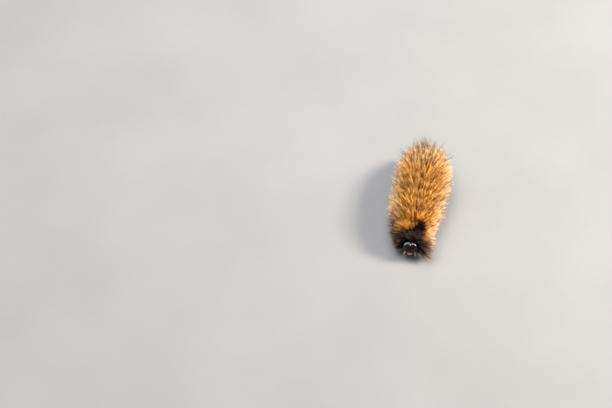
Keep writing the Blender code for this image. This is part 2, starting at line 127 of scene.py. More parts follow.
markings = {
    # the dark collar round the head, shorter on the left flank, and the black spot behind it
    "collarEdge": 1.7, "collarSoft": 0.35, "collarWave": 0.2, "collarWaves": 3,
    "collarShort": 1.1, "shortTurn": (28, 46),
    "patchAlong": 2.35, "patchTurn": 25, "patchHalf": (1.30, 20), "patchSoft": (0.30, 0.50),
    "paleTurn": (36, 80),     # gold back to peach flanks
    # brown at the front of each flank, painted shade on the larva's right (-1): amount, degrees where it
    # begins and where it ends
    "brownAndShade": {-1: (1.0, (40, 74), (3.2, 7.0)), 1: (0.85, (52, 74), (1.0, 2.1))},
    "rearPale": 0.75, "rearStart": (13.0, 20.0),
    "ashStart": (18.5, 22.0),  # grey-brown tips at the tail
}


def markingsAt(along, turn):
    # how dark, black, pale and ashen the larva is at a place, the same for its skin and its coat
    degrees = np.degrees(turn)
    edge = markings["collarEdge"] + markings["collarWave"] * np.sin(markings["collarWaves"] * turn)
    edge -= markings["collarShort"] * fadeIn(degrees, *markings["shortTurn"])
    collar = 1 - fadeIn(along, edge, edge + markings["collarSoft"])
    patchLong, patchTurn = markings["patchHalf"]
    patch = np.exp(-(((along - markings["patchAlong"]) / patchLong) ** 2)
                   - ((degrees - markings["patchTurn"]) / patchTurn) ** 2)
    patch = fadeIn(patch, *markings["patchSoft"])
    # the front of the larva's right flank is darkened here as painted shade
    brownAndShade = [amount * fadeIn(side * degrees, *start) * (1 - fadeIn(along, *end))
             for side, (amount, start, end) in markings["brownAndShade"].items()]
    rear = markings["rearPale"] * fadeIn(along, *markings["rearStart"])
    return {
        "dark": np.maximum.reduce([collar, patch, *brownAndShade]), "patch": patch,
        "pale": np.maximum(fadeIn(np.abs(degrees), *markings["paleTurn"]), rear),
        "ash": fadeIn(along, *markings["ashStart"]),
    }


head = {
    "centre": np.array((0.10, -0.76, 2.50)),
    "half": np.array((1.58, 1.20, 1.38)),
    "cleft": 0.13,            # how deep the crown's cleft is, as a share
    "cleftWidth": 0.30,
    "cheekSwell": 0.05,
    "cheekLevel": -0.2,
    "cheekHeight": 0.35,
    "seamDepth": 0.035,       # the fine lines between the plates of the face
    "seamWidth": 0.040,
    "seamStart": (-0.35, 0.0),
    "fronsTop": 0.12,         # where the crown's line forks above the face's triangle
    "fronsFoot": (0.40, -0.74),
    "fronsBand": 0.14,        # the narrow plates beside the triangle
    "fronsSink": 0.03,
    "fronsHalf": (0.36, 0.45),
    "fronsLevel": -0.45,
}
# The upper lip's place: behind the head's front, half its solid's depth, and its height.
labrum = {"back": 0.50, "solidHalf": 0.27, "height": 1.22}

# The labrum's box in the frame says where the collar is.
mouthLow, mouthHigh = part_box("labrum")
mouthFront = head["centre"][1] - head["half"][1] + labrum["back"] - labrum["solidHalf"]
mouthMiddle = (mouthLow.x + mouthHigh.x) / 2
origin = Vector((mouthMiddle - head["centre"][0] * mm, mouthLow.y - mouthFront * mm, 0.0))


def toLinear(hexColour):
    channels = [int(hexColour[i : i + 2], 16) / 255 for i in (1, 3, 5)]
    return tuple(c / 12.92 if c <= 0.04045 else ((c + 0.055) / 1.055) ** 2.4 for c in channels) + (1.0,)


def addNode(tree, kind, settings=None, links=None, output=0):
    # settings are the node's own values, its inputs' values or a ramp's stops; gives back an output
    node = tree.nodes.new("ShaderNode" + kind)
    for key, value in (settings or {}).items():
        if key == "stops":
            ramp = node.color_ramp
            while len(ramp.elements) < len(value):
                ramp.elements.new(0.5)
            for element, (place, hexColour) in zip(ramp.elements, value):
                element.position = place
                element.color = toLinear(hexColour)
        elif isinstance(key, str) and hasattr(node, key):
            setattr(node, key, value)
        else:
            node.inputs[key].default_value = value
    for key, source in (links or {}).items():
        tree.links.new(source, node.inputs[key])
    return node.outputs[output] if node.outputs else None


def newMaterial(name):
    material = bpy.data.materials.new(name)
    material.use_nodes = True
    tree = material.node_tree
    tree.nodes.clear()
    return material, tree


def startPiece(name, addPrimitive, **settings):
    # a new primitive, alone in the selection and in edit mode
    bpy.ops.object.select_all(action="DESELECT")
    addPrimitive(**settings)
    piece = bpy.context.object
    piece.name = piece.data.name = name
    bpy.ops.object.mode_set(mode="EDIT")
    return piece


def endEdit(piece):
    bpy.ops.mesh.select_all(action="SELECT")
    bpy.ops.mesh.normals_make_consistent(inside=False)
    bpy.ops.object.mode_set(mode="OBJECT")
    bpy.ops.object.shade_smooth()
    return piece


def only(piece):
    bpy.ops.object.select_all(action="DESELECT")
    piece.select_set(True)
    bpy.context.view_layer.objects.active = piece


def applyPlace(piece):
    only(piece)
    bpy.ops.object.transform_apply(location=True, rotation=True, scale=True)
    return piece


def makeBall(name, segments, rings, half=(1.0, 1.0, 1.0), centre=(0.0, 0.0, 0.0)):
    # a ball stretched in edit mode to its half sizes, for sculpt() to shape
    piece = startPiece(name, bpy.ops.mesh.primitive_uv_sphere_add, segments=segments, ring_count=rings,
                       radius=1.0, location=centre)
    bpy.ops.transform.resize(value=half, center_override=centre)
    return applyPlace(endEdit(piece))


def newObject(name, data):
    piece = bpy.data.objects.new(name, data)
    bpy.context.scene.collection.objects.link(piece)
    return piece


def copyOf(piece, name):
    copy = newObject(name, piece.data.copy())
    copy.data.name = name
    return copy


def spreadCopies(form, places):
    # a copy of the form at each place, with its turn and its size, and without the form itself
    copies = []
    for place, turned, size in places:
        copy = copyOf(form, form.name + "Copy")
        copy.location, copy.rotation_euler, copy.scale = place, turned, size
        copies.append(copy)
    bpy.data.objects.remove(form)
    return copies


def facing(way):
    # the turn that points a piece's own Z that way
    return Vector(way).to_track_quat("Z", "Y").to_euler()


def joinPieces(name, pieces):
    only(pieces[0])
    for piece in pieces:
        piece.select_set(True)
    bpy.ops.object.join()
    joined = bpy.context.object
    joined.name = joined.data.name = name
    return joined


def applyModifier(piece, kind, **settings):
    only(piece)
    modifier = piece.modifiers.new(kind.title(), kind)
    for key, value in settings.items():
        setattr(modifier, key, value)
    bpy.ops.object.modifier_apply(modifier=modifier.name)


def meshPoints(piece):
    points = np.empty(len(piece.data.vertices) * 3)
    piece.data.vertices.foreach_get("co", points)
    return points.reshape(-1, 3)


def sculpt(piece, move):
    # moves the vertices as one array of points, as a sculpting brush would
    piece.data.vertices.foreach_set("co", move(meshPoints(piece)).ravel())
    piece.data.update()


def addMark(mesh, name, values):
    # a number at each vertex, for the materials to read
    attribute = mesh.attributes.new(name, "FLOAT", "POINT")
    attribute.data.foreach_set("value", np.asarray(values, np.float32))


def tubeThrough(name, points, radii, sides):
    # a closed round tube through points, from a curve with a radius at each point
    curve = bpy.data.curves.new(name, "CURVE")
    curve.dimensions = "3D"
    curve.bevel_depth = 1.0
    curve.bevel_resolution = max(0, sides // 2 - 2)
    curve.use_fill_caps = True
    spline = curve.splines.new("POLY")
    spline.points.add(len(points) - 1)
    for spot, point, radius in zip(spline.points, points, radii):
        spot.co = (*point, 1.0)
        spot.radius = radius
    only(newObject(name, curve))
    bpy.ops.object.convert(target="MESH")
    piece = bpy.context.object
    bpy.ops.object.mode_set(mode="EDIT")
    bpy.ops.mesh.select_all(action="SELECT")
    bpy.ops.mesh.remove_doubles(threshold=0.0005)
    return endEdit(piece)


def settle(piece, materials, slot, *nodes):
    # from millimetres behind the collar to metres in the row frame
    applyPlace(piece)
    piece.scale = (mm, mm, mm)
    piece.location = origin
    applyPlace(piece)
    piece.data.materials.clear()
    for material in materials:
        piece.data.materials.append(material)
    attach(piece, "root")
    if nodes:
        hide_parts(*nodes)
    return piece


def settlePair(piece, otherName, material, slot, node=None):
    # a left piece and its mirror image, each moved to its side of the head's middle
    applyPlace(piece)
    other = copyOf(piece, otherName)
    other.scale.x = -1
    applyPlace(other)
    bpy.ops.object.mode_set(mode="EDIT")
    endEdit(other)
    for one, word in ((piece, "left"), (other, "right")):
        one.location.x = head["centre"][0]
        settle(one, [material], slot, *([f"{node}_{word}"] if node else []))


# Larval cuticle: soft dull skin with flecks, dark brown on the back, darker under the collar and
# tan on the flanks, as the markings on the mesh say, with painted shade at the front of the right
# flank. The real wrinkles are too fine to show, so they are drawn 0.12 mm apart.
skinFinish = {
    "flecks": {"Scale": 1 / (0.35 * mm), "Detail": 4.0},
    "back": [(0.30, "#1f1510"), (0.56, "#463024"), (0.78, "#7d5c44")],
    "flank": [(0.30, "#33221a"), (0.56, "#735039"), (0.78, "#b58a66")],
    "collar": [(0.30, "#0b0807"), (0.56, "#1a120f"), (0.78, "#33251f")],
    "relief": {"Scale": 1 / (0.12 * mm), "Detail": 3.0},
    "bump": {"Strength": 0.6, "Distance": 0.03 * mm},
    "shader": {"Roughness": 0.5, "IOR": 1.5},
}
# Sclerotised chitin: hard polished black shell with a faint brown cast. Its fine relief roughens
# the gloss a little and is drawn 0.07 mm apart, coarser than the real one, so that it shows.
hornFinish = {
    "mottle": {"Scale": 1 / (0.5 * mm), "Detail": 2.0},
    "colours": [(0.45, "#050506"), (0.75, "#170d08")],
    "relief": {"Scale": 1 / (0.07 * mm), "Detail": 2.0},
    "bump": {"Strength": 0.25, "Distance": 0.006 * mm},
    "shader": {"Roughness": 0.11, "IOR": 1.34},
}
# Soft tan cuticle of the mouth and feelers: satin, and paler where its relief is high.
mouthFinish = {
    "mottle": {"Scale": 1 / (0.22 * mm), "Detail": 3.0},
    "colours": [(0.35, "#a5744b"), (0.62, "#e3ba90")],
    "relief": {"Scale": 1 / (0.22 * mm), "Detail": 3.0},
    "bump": {"Strength": 0.1, "Distance": 0.01 * mm},
    "shader": {"Roughness": 0.38, "IOR": 1.5},
}
# The cornea over each simple eye: clear and wet-looking, deep brown, almost black.
lensFinish = {
    "mottle": {"Scale": 1 / (0.08 * mm), "Detail": 1.0},
    "colours": [(0.4, "#060303"), (0.75, "#2a1408")],
    "shader": {"Roughness": 0.03, "IOR": 1.53},
}
# Bristles are hollow chitin hairs: golden brown with a soft gloss, darker at the root, pale at the
# tip. The meshes carry how far along its hair a point is, reach, and each tuft's tone and markings.
bristleFinish = {
    "gold": [(0.0, "#6d3b0a"), (0.30, "#c17b18"), (0.65, "#df9832"), (1.0, "#e8b86c")],
    "peach": [(0.0, "#8f521d"), (0.30, "#e29850"), (0.65, "#f3c28c"), (1.0, "#fbe0be")],
    "black": [(0.0, "#17110e"), (0.5, "#46342b"), (1.0, "#7c6657")],
    "ash": "#6e6259",
    # brightness and gloss, from the darkest tufts to the palest
    "value": {"clamp": False, "To Min": 0.26, "To Max": 1.46},
    "gloss": {"To Min": 0.06, "To Max": 0.60},
    "shader": {"Roughness": 0.45, "IOR": 1.55, "Specular Tint": toLinear("#ffcf96")},
}


def makeMottled(name, finish):
    # a mottled colour, with a fine relief where the finish has one
    material, tree = newMaterial(name)
    place = addNode(tree, "TexCoord", output="Object")
    mottle = addNode(tree, "TexNoise", finish["mottle"], {"Vector": place})
    links = {"Base Color": addNode(tree, "ValToRGB", {"stops": finish["colours"]}, {0: mottle})}
    if "relief" in finish:
        relief = addNode(tree, "TexNoise", finish["relief"], {"Vector": place})
        links["Normal"] = addNode(tree, "Bump", finish["bump"], {"Height": relief})
    shader = addNode(tree, "BsdfPrincipled", finish["shader"], links)
    addNode(tree, "OutputMaterial", None, {0: shader})
    return material


def makeSkinMaterial():
    material, tree = newMaterial("larvalCuticle")
    place = addNode(tree, "TexCoord", output="Object")
    flecks = addNode(tree, "TexNoise", skinFinish["flecks"], {"Vector": place})
    back, flank, collar = (addNode(tree, "ValToRGB", {"stops": skinFinish[part]}, {0: flecks})
                           for part in ("back", "flank", "collar"))
    pale, dark = (addNode(tree, "Attribute", {"attribute_name": mark}, output="Fac")
                  for mark in ("pale", "dark"))
    sides = addNode(tree, "Mix", {"data_type": "RGBA"}, {0: pale, 6: back, 7: flank}, 2)
    colour = addNode(tree, "Mix", {"data_type": "RGBA"}, {0: dark, 6: sides, 7: collar}, 2)
    relief = addNode(tree, "TexNoise", skinFinish["relief"], {"Vector": place})
    bump = addNode(tree, "Bump", skinFinish["bump"], {"Height": relief})
    shader = addNode(tree, "BsdfPrincipled", skinFinish["shader"], {"Base Color": colour, "Normal": bump})
    addNode(tree, "OutputMaterial", None, {0: shader})
    return material


def makeBristleMaterial():
    material, tree = newMaterial("gingerBristle")
    reach, tone, pale, dark, ash = (addNode(tree, "Attribute", {"attribute_name": mark}, output="Fac")
                                    for mark in ("reach", "tone", "pale", "dark", "ash"))
    gold, peach, black = (addNode(tree, "ValToRGB", {"stops": bristleFinish[part]}, {0: reach})
                          for part in ("gold", "peach", "black"))
    flank = addNode(tree, "Mix", {"data_type": "RGBA"}, {0: pale, 6: gold, 7: peach}, 2)
    tips = addNode(tree, "Math", {"operation": "MULTIPLY"}, {0: ash, 1: reach})
    ashen = addNode(tree, "Mix", {"data_type": "RGBA", 7: toLinear(bristleFinish["ash"])},
                    {0: tips, 6: flank}, 2)
    marked = addNode(tree, "Mix", {"data_type": "RGBA"}, {0: dark, 6: ashen, 7: black}, 2)
    value, gloss = (addNode(tree, "MapRange", bristleFinish[part], {"Value": tone})
                    for part in ("value", "gloss"))
    colour = addNode(tree, "HueSaturation", None, {"Color": marked, "Value": value})
    shader = addNode(tree, "BsdfPrincipled", bristleFinish["shader"],
                     {"Base Color": colour, "Specular IOR Level": gloss})
    addNode(tree, "OutputMaterial", None, {0: shader})
    return material


skinMaterial = makeSkinMaterial()
hornMaterial = makeMottled("polishedChitin", hornFinish)
mouthMaterial = makeMottled("tanCuticle", mouthFinish)
lensMaterial = makeMottled("eyeCornea", lensFinish)
bristleMaterial = makeBristleMaterial()
print("materials made")

skin = {
    "sides": 64,
    "ringStep": 0.25,
    "foldDepth": 0.055,       # the fold between two segments, as a share of the half width
    "foldWidth": 0.22,
    "neck": [(-0.55, 0.62), (-0.25, 0.85)],
    "tailDome": [(24.25, 0.36), (24.4, 0.12)],
    "voxel": 0.11,
    # the warts of half a segment: degrees from the ridge, radius and shift to the tail
    "warts": [
        (13, 0.26, -0.45), (36, 0.42, 0.12), (60, 0.46, -0.10),
        (84, 0.44, 0.15), (106, 0.38, -0.20), (128, 0.34, 0.10),
    ],
    "wartHeight": 0.5,
    "wartSink": 0.1,
}


def skinRadius(along):
    # the trunk's half width, pulled in at the folds between segments
    radius = bodyRadius(along)
    for segment in list(trunk["segments"])[1:]:
        fold = math.exp(-(((along - segmentStart(segment)) / skin["foldWidth"]) ** 2))
        radius *= 1 - skin["foldDepth"] * fold
    return float(radius)


def trunkRings():
    # each ring's centre, half width and half height
    count = round(trunk["length"] / skin["ringStep"])
    stations = [(n * trunk["length"] / count, None) for n in range(count + 1)]
    flat = (1 + trunk["bellyFlatness"]) / 2
    rings = []
    for along, radius in skin["neck"] + stations + skin["tailDome"]:
        radius = radius or skinRadius(along)
        centre = axisPoint(min(max(along, 0.0), trunk["length"]))
        rings.append((Vector((centre[0], along, centre[2] + radius * (1 - flat))), radius, radius * flat))
    return rings


def makeTrunk():
    rings = trunkRings()
    centre, wide, high = rings[0]
    piece = startPiece("larvaSkin", bpy.ops.mesh.primitive_circle_add, vertices=skin["sides"],
                       radius=1.0, fill_type="NGON", location=centre, rotation=(math.pi / 2, 0, 0))
    bpy.ops.transform.resize(value=(wide, 1, high), center_override=centre)
    for (before, lastWide, lastHigh), (centre, wide, high) in zip(rings, rings[1:]):
        bpy.ops.mesh.extrude_region_move(TRANSFORM_OT_translate={"value": centre - before})
        bpy.ops.transform.resize(value=(wide / lastWide, 1, high / lastHigh), center_override=centre)
    return applyPlace(endEdit(piece))


def wartSpots():
    # every wart's along, turn and radius
    spots = []
    widest = max(width for _, width in trunk["halfWidth"])
    longest = max(trunk["segments"].values())
    for segment, length in trunk["segments"].items():
        middle = segmentMiddle(segment)
        small = math.sqrt(bodyRadius(middle) / widest)
        for degrees, size, shift in skin["warts"]:
            for side in (-1, 1):
                turn = side * math.radians(degrees)
                spots.append((middle + shift * length / longest, turn, size * small))
    return spots


def makeWarts():
    places = []
    for along, turn, size in wartSpots():
        middle = trunkPoint(along, turn, skinRadius(along) - skin["wartSink"] * size)
        places.append((middle, facing(outward(turn)), (size, size, size * skin["wartHeight"])))
    return spreadCopies(makeBall("wart", 20, 12), places)


proleg = {
    # share of the way from the trunk to the sole, and radius
    "shape": [
        (0.00, 0.84), (0.30, 0.80), (0.55, 0.62), (0.72, 0.50), (0.84, 0.46), (0.92, 0.52), (1.00, 0.52),
    ],
    "spread": 1.42, "splay": 0.8, "depth": 0.2,
    "claspSpread": 0.95, "claspBack": 0.5,
    "segments": ("A3", "A4", "A5", "A6"), "claspSegment": "A10",
}


def prolegFeet():
    # each proleg's node, its side, its start inside the trunk and the middle of its sole
    feet = []
    for segment in (*proleg["segments"], proleg["claspSegment"]):
        along = segmentMiddle(segment)
        spread, back, node = proleg["spread"], 0.0, f"proleg_{segment.lower()}"
        if segment == proleg["claspSegment"]:
            spread, back, node = proleg["claspSpread"], proleg["claspBack"], "clasper"
        centre = axisPoint(along)
        depth = float(bodyRadius(along)) * proleg["depth"]
        for side, word in ((1, "left"), (-1, "right")):
            start = Vector((centre[0] + side * spread * proleg["splay"], along - back, centre[2] - depth))
            sole = Vector((centre[0] + side * spread, along, 0.0))
            feet.append((f"{node}_{word}", side, start, sole))
    return feet


def makeProlegs():
    legs = []
    shares, radii = zip(*proleg["shape"])
    for node, _, start, sole in prolegFeet():
        points = [start.lerp(sole, share) for share in shares]
        points[-2].xy = points[-1].xy
        legs.append(tubeThrough(node + "Form", points, radii, 24))
    return legs


def makeSkin():
    piece = applyPlace(joinPieces("larvaSkin", [makeTrunk(), *makeWarts(), *makeProlegs()]))
    applyModifier(piece, "REMESH", mode="VOXEL", voxel_size=skin["voxel"])
    applyModifier(piece, "SMOOTH", factor=0.5, iterations=3)
    sculpt(piece, lambda points: np.column_stack([points[:, :2], np.maximum(points[:, 2], 0.0)]))
    only(piece)
    bpy.ops.object.shade_smooth()
    for mark, values in markingsAt(*trunkPlace(meshPoints(piece))).items():
        addMark(piece.data, mark, values)
    nodes = ["prothorax", "thorax", "abdomen_front", "abdomen_middle", "abdomen_rear", "tail"]
    return settle(piece, [skinMaterial], "proleg", *nodes, *[foot[0] for foot in prolegFeet()])


# The row of hooks round the inner rim of each sole, as aside and height from the hook's root.
hook = {
    "path": [(-0.06, 0.16), (0.03, 0.15), (0.10, 0.10), (0.11, 0.04), (0.07, 0.01)],
    "radii": [0.030, 0.028, 0.024, 0.016, 0.004],
    "count": 14, "arc": 160, "rim": 0.45,
}


def makeHooks():
    places = []
    for _, side, _, sole in prolegFeet():
        inward = math.pi if side > 0 else 0.0
        for n in range(hook["count"]):
            angle = inward + math.radians(hook["arc"] * (n / (hook["count"] - 1) - 0.5))
            rim = sole + hook["rim"] * Vector((math.cos(angle), math.sin(angle), 0.0))
            places.append((rim, (0.0, 0.0, angle), (1.0, 1.0, 1.0)))
    form = tubeThrough("hookForm", [(aside, 0.0, up) for aside, up in hook["path"]], hook["radii"], 4)
    settle(joinPieces("footHooks", spreadCopies(form, places)), [hornMaterial], "horn")


spiracle = {
    "turn": 92, "ring": 0.13, "rim": 0.035, "narrow": 0.7, "pitDepth": 0.12,
    "segments": ("T1", "A1", "A2", "A3", "A4", "A5", "A6", "A7", "A8"),
}


def makeSpiracles():
    # the breathing holes along each flank: a raised black ring round a dark pit
    ring = startPiece("spiracleRing", bpy.ops.mesh.primitive_torus_add, major_segments=20,
                      minor_segments=8, major_radius=spiracle["ring"], minor_radius=spiracle["rim"])
    endEdit(ring)
    wide = spiracle["ring"]
    pit = makeBall("spiraclePit", 16, 8, (wide, wide, wide * spiracle["pitDepth"]))
    places = []
    for segment in spiracle["segments"]:
        along = segmentMiddle(segment)
        for side in (-1, 1):
            turn = side * math.radians(spiracle["turn"])
            middle = trunkPoint(along, turn, skinRadius(along) + spiracle["rim"])
            places.append((middle, facing(outward(turn)), (spiracle["narrow"], 1.0, 1.0)))
    copies = spreadCopies(joinPieces("spiracleForm", [ring, pit]), places)
    settle(joinPieces("spiracles", copies), [hornMaterial], "horn")


skinPiece = makeSkin()
makeHooks()
makeSpiracles()
print("skin made:", len(skinPiece.data.polygons), "faces")

stemmata = {
    "radius": 0.115,
    "socket": 0.15, "socketWidth": 0.045, "socketRise": 0.022,
    # aside and up on the head, as shares of its half width and half height
    "spots": [(0.84, -0.02), (0.80, -0.17), (0.72, -0.30), (0.62, -0.40), (0.84, -0.34), (0.66, -0.18)],
}


def headSurface(aside, up, out=0.0):
    # the place on the head that is aside and up by shares of its half sizes
    aside, up, out = np.broadcast_arrays(*(np.asarray(value, float) for value in (aside, up, out)))
    ray = np.stack([aside, -np.sqrt(np.maximum(0.0, 1 - aside**2 - up**2)), up], -1)
    return head["centre"] + ray * (head["half"] + out[..., None])


def seamDistance(aside, up):
    # how far a place on the face is from the seams that part its plates
    top, band, (footAside, footUp) = head["fronsTop"], head["fronsBand"], head["fronsFoot"]
    lines = [((0.0, 1.0), (0.0, top))]
    for side in (-1, 1):
        lines.append(((0.0, top), (side * footAside, footUp)))
        lines.append(((0.0, top + band), (side * (footAside + band), footUp)))
    distances = []
    for (x0, z0), (x1, z1) in lines:
        dx, dz = x1 - x0, z1 - z0
        t = np.clip(((aside - x0) * dx + (up - z0) * dz) / (dx * dx + dz * dz), 0.0, 1.0)
        distances.append(np.hypot(aside - x0 - t * dx, up - z0 - t * dz))
    return np.minimum.reduce(distances)


def shapeHead(points):
    centre, half = head["centre"], head["half"]
    ray = (points - centre) / half
    aside = ray[:, 0] * half[0]
    dip = head["cleft"] * np.maximum(0.0, ray[:, 2]) * np.exp(-((aside / head["cleftWidth"]) ** 2))
    cheek = (ray[:, 2] - head["cheekLevel"]) / head["cheekHeight"]
    swell = head["cheekSwell"] * np.abs(ray[:, 0]) * np.exp(-(cheek**2))
    seam = np.exp(-((seamDistance(ray[:, 0], ray[:, 2]) / head["seamWidth"]) ** 2))
    seam *= fadeIn(-ray[:, 1], *head["seamStart"]) * head["seamDepth"]
    fronsWide, fronsHigh = head["fronsHalf"]
    frons = 1 - np.hypot(ray[:, 0] / fronsWide, (ray[:, 2] - head["fronsLevel"]) / fronsHigh)
    sunken = head["fronsSink"] * np.maximum(0.0, frons) * (ray[:, 1] < 0)
    scale = (1 - dip) * (1 - seam) * (1 - sunken)
    for side in (-1, 1):
        for spotAside, spotUp in stemmata["spots"]:
            away = np.linalg.norm(points - headSurface(side * spotAside, spotUp), axis=1)
            rim = (away - stemmata["socket"]) / stemmata["socketWidth"]
            scale += stemmata["socketRise"] * np.exp(-(rim**2))
    ray[:, 0] *= 1 + swell
    return centre + ray * half * scale[:, None]


def makeHead():
    piece = makeBall("headCapsule", 256, 180, head["half"], head["centre"])
    sculpt(piece, shapeHead)
    settle(piece, [hornMaterial], "horn", "head")


def makeStemmata():
    # six simple eyes on each cheek, each a low dome in its socket
    eye = makeBall("eye", 28, 18, [stemmata["radius"]] * 3)
    places = [(headSurface(side * aside, up), (0.0, 0.0, 0.0), (1.0, 1.0, 1.0))
              for side in (-1, 1) for aside, up in stemmata["spots"]]
    settle(joinPieces("stemmata", spreadCopies(eye, places)), [lensMaterial], "horn")


# The clypeus is the tan plate between the face's triangle and the upper lip.
clypeus = {"up": -0.70, "half": (0.34, 0.085), "thick": 0.075, "square": 0.65}


def makeClypeus():
    piece = makeBall("clypeus", 64, 40)

    def layOnHead(points):
        squared = np.sign(points) * np.abs(points) ** clypeus["square"]
        halfAside, halfUp = clypeus["half"]
        up = clypeus["up"] + squared[:, 2] * halfUp
        return headSurface(squared[:, 0] * halfAside, up, -points[:, 1] * clypeus["thick"])

    sculpt(piece, layOnHead)
    settle(piece, [mouthMaterial], "mouth")


lip = {"half": (0.55, 0.22, 0.33), "square": 0.75, "notch": 0.24, "notchWidth": 0.13, "thin": 0.45}


def makeLabrum():
    # the upper lip: a thin plate with a notch in the middle of its lower edge
    x, y, _ = head["centre"]
    centre = np.array((x, y - head["half"][1] + labrum["back"], labrum["height"]))
    piece = makeBall("upperLip", 64, 48)

    def shapeLip(points):
        low = fadeIn(-points[:, 2], 0.0, 1.0)
        points = np.sign(points) * np.abs(points) ** lip["square"]
        points[:, 1] *= 1 - lip["thin"] * low
        points = centre + points * np.array(lip["half"])
        points[:, 2] += lip["notch"] * low * np.exp(-(((points[:, 0] - x) / lip["notchWidth"]) ** 2))
        return points

    sculpt(piece, shapeLip)
    settle(piece, [mouthMaterial], "mouth", "labrum")


mandible = {
    "half": (0.32, 0.38, 0.44), "aside": 0.40, "back": 0.72, "height": 0.98, "gap": 0.04,
    "edge": 0.1, "teeth": 4, "tooth": 0.06,
}


def makeMandibles():
    forward = head["centre"][1] - head["half"][1] + mandible["back"]
    centre = Vector((mandible["aside"], forward, mandible["height"]))
    piece = makeBall("mandibleLeft", 48, 36, mandible["half"], centre)

    def cutTeeth(points):
        # a flat inner face, and teeth along the edge that bites
        low = fadeIn(centre.z - points[:, 2], mandible["edge"], mandible["half"][2])
        place = (points[:, 1] - centre.y) / mandible["half"][1]
        points[:, 2] -= mandible["tooth"] * low * np.abs(np.sin(math.pi * mandible["teeth"] / 2 * place))
        points[:, 0] = np.maximum(points[:, 0], mandible["gap"])
        return points

    sculpt(piece, cutTeeth)
    settlePair(piece, "mandibleRight", hornMaterial, "horn", "mandible")


# The lower lip with the spinneret, and a jointed palp on each side of it: places and radii.
lowerLip = {
    "centre": (0.0, -1.00, 0.86), "half": (0.40, 0.30, 0.26),
    "spinneret": [
        ((0.0, -1.15, 0.76), 0.12), ((0.0, -1.30, 0.66), 0.10),
        ((0.0, -1.42, 0.57), 0.05), ((0.0, -1.46, 0.54), 0.03),
    ],
    "palp": [
        ((0.26, -1.05, 0.86), 0.15), ((0.29, -1.24, 0.76), 0.14), ((0.30, -1.26, 0.74), 0.10),
        ((0.32, -1.38, 0.67), 0.10), ((0.32, -1.40, 0.65), 0.06), ((0.33, -1.50, 0.58), 0.05),
        ((0.33, -1.52, 0.56), 0.02),
    ],
}


def makeLowerLip():
    piece = makeBall("lowerLip", 40, 28, lowerLip["half"], lowerLip["centre"])
    spinneret = tubeThrough("spinneret", *zip(*lowerLip["spinneret"]), 16)
    for one in (piece, spinneret):
        one.location.x = head["centre"][0]
        settle(one, [mouthMaterial], "mouth")
    palp = tubeThrough("palpLeft", *zip(*lowerLip["palp"]), 16)
    settlePair(palp, "palpRight", mouthMaterial, "mouth")


# A feeler: its soft base, a long joint, a short one, and the bristle at its end.
antenna = {
    "spot": (0.58, -0.66), "way": (0.35, -0.55, -0.60),
    "shape": [
        (-0.20, 0.24), (0.10, 0.23), (0.24, 0.20), (0.27, 0.14), (0.31, 0.15), (0.52, 0.14), (0.58, 0.12),
        (0.60, 0.07), (0.63, 0.08), (0.74, 0.07), (0.76, 0.02), (0.90, 0.016), (1.04, 0.006),
    ],
}


def makeAntennae():
    root = Vector(headSurface(*antenna["spot"])) - Vector((head["centre"][0], 0, 0))
    way = Vector(antenna["way"]).normalized()
    places, radii = zip(*antenna["shape"])
    piece = tubeThrough("antennaLeft", [root + way * place for place in places], radii, 20)
    settlePair(piece, "antennaRight", mouthMaterial, "mouth", "antenna")


makeHead()
makeStemmata()
makeClypeus()
makeLabrum()
makeMandibles()
makeLowerLip()
makeAntennae()
print("head made")

trueLeg = {
    # share of the way from hip to claw, and radius: coxa, femur, tibia and tarsus
    "shape": [
        (0.00, 0.46), (0.18, 0.50), (0.23, 0.46), (0.25, 0.36), (0.32, 0.34), (0.34, 0.42),
        (0.50, 0.40), (0.54, 0.36), (0.56, 0.27), (0.63, 0.26), (0.65, 0.32), (0.80, 0.29),
        (0.84, 0.26), (0.86, 0.18), (0.90, 0.17), (0.92, 0.20), (0.97, 0.16), (1.00, 0.10),
    ],
    "membranes": [(0.245, 0.33), (0.555, 0.64), (0.855, 0.91)],
    "turn": 0.62, "depth": 0.7, "knee": (1.0, -0.35, -0.35),
    "footAside": 0.15, "forward": 0.75, "footHeight": 0.10,
    "segments": ("T1", "T2", "T3"),
}
# The single claw on each true leg, as places forward and down from the leg's end.
claw = {
    "path": [(-0.06, -0.02), (0.05, -0.03), (0.13, -0.01), (0.19, 0.03), (0.22, 0.085)],
    "radii": [0.095, 0.085, 0.060, 0.034, 0.006],
}


def trueLegPath(segment, side):
    # the point at a share of the way down a true leg, as a function
    along = segmentMiddle(segment)
    hip = trunkPoint(along, math.pi - side * trueLeg["turn"], bodyRadius(along) * trueLeg["depth"])
    start = Vector(hip)
    aside, forward, down = trueLeg["knee"]
    knee = start + Vector((side * aside, forward, down))
    footAside = start.x + side * trueLeg["footAside"]
    foot = Vector((footAside, along - trueLeg["forward"], trueLeg["footHeight"]))
    return lambda share: start * (1 - share) ** 2 + knee * 2 * share * (1 - share) + foot * share**2


def paintMembranes(piece, path):
    # the soft joints take the leg's second material
    shares = np.linspace(0.0, 1.0, 200)
    spots = np.array([path(share) for share in shares])
    for polygon in piece.data.polygons:
        share = shares[np.argmin(np.linalg.norm(spots - np.array(polygon.center), axis=1))]
        if any(start < share < end for start, end in trueLeg["membranes"]):
            polygon.material_index = 1


def makeTrueLegs():
    clawPath = [(0.0, -forward, -down) for forward, down in claw["path"]]
    clawForm = tubeThrough("clawForm", clawPath, claw["radii"], 12)
    claws = []
    shares, radii = zip(*trueLeg["shape"])
    for number, segment in enumerate(trueLeg["segments"], 1):
        for side, word in ((1, "left"), (-1, "right")):
            path = trueLegPath(segment, side)
            name = f"leg{number}{word.title()}"
            piece = tubeThrough(name, [path(share) for share in shares], radii, 20)
            paintMembranes(piece, path)
            settle(piece, [hornMaterial, mouthMaterial], "horn", f"leg_{number}_{word}")
            claws.append(copyOf(clawForm, "clawCopy"))
            claws[-1].location = path(1.0)
    bpy.data.objects.remove(clawForm)
    settle(joinPieces("legClaws", claws), [hornMaterial], "horn")


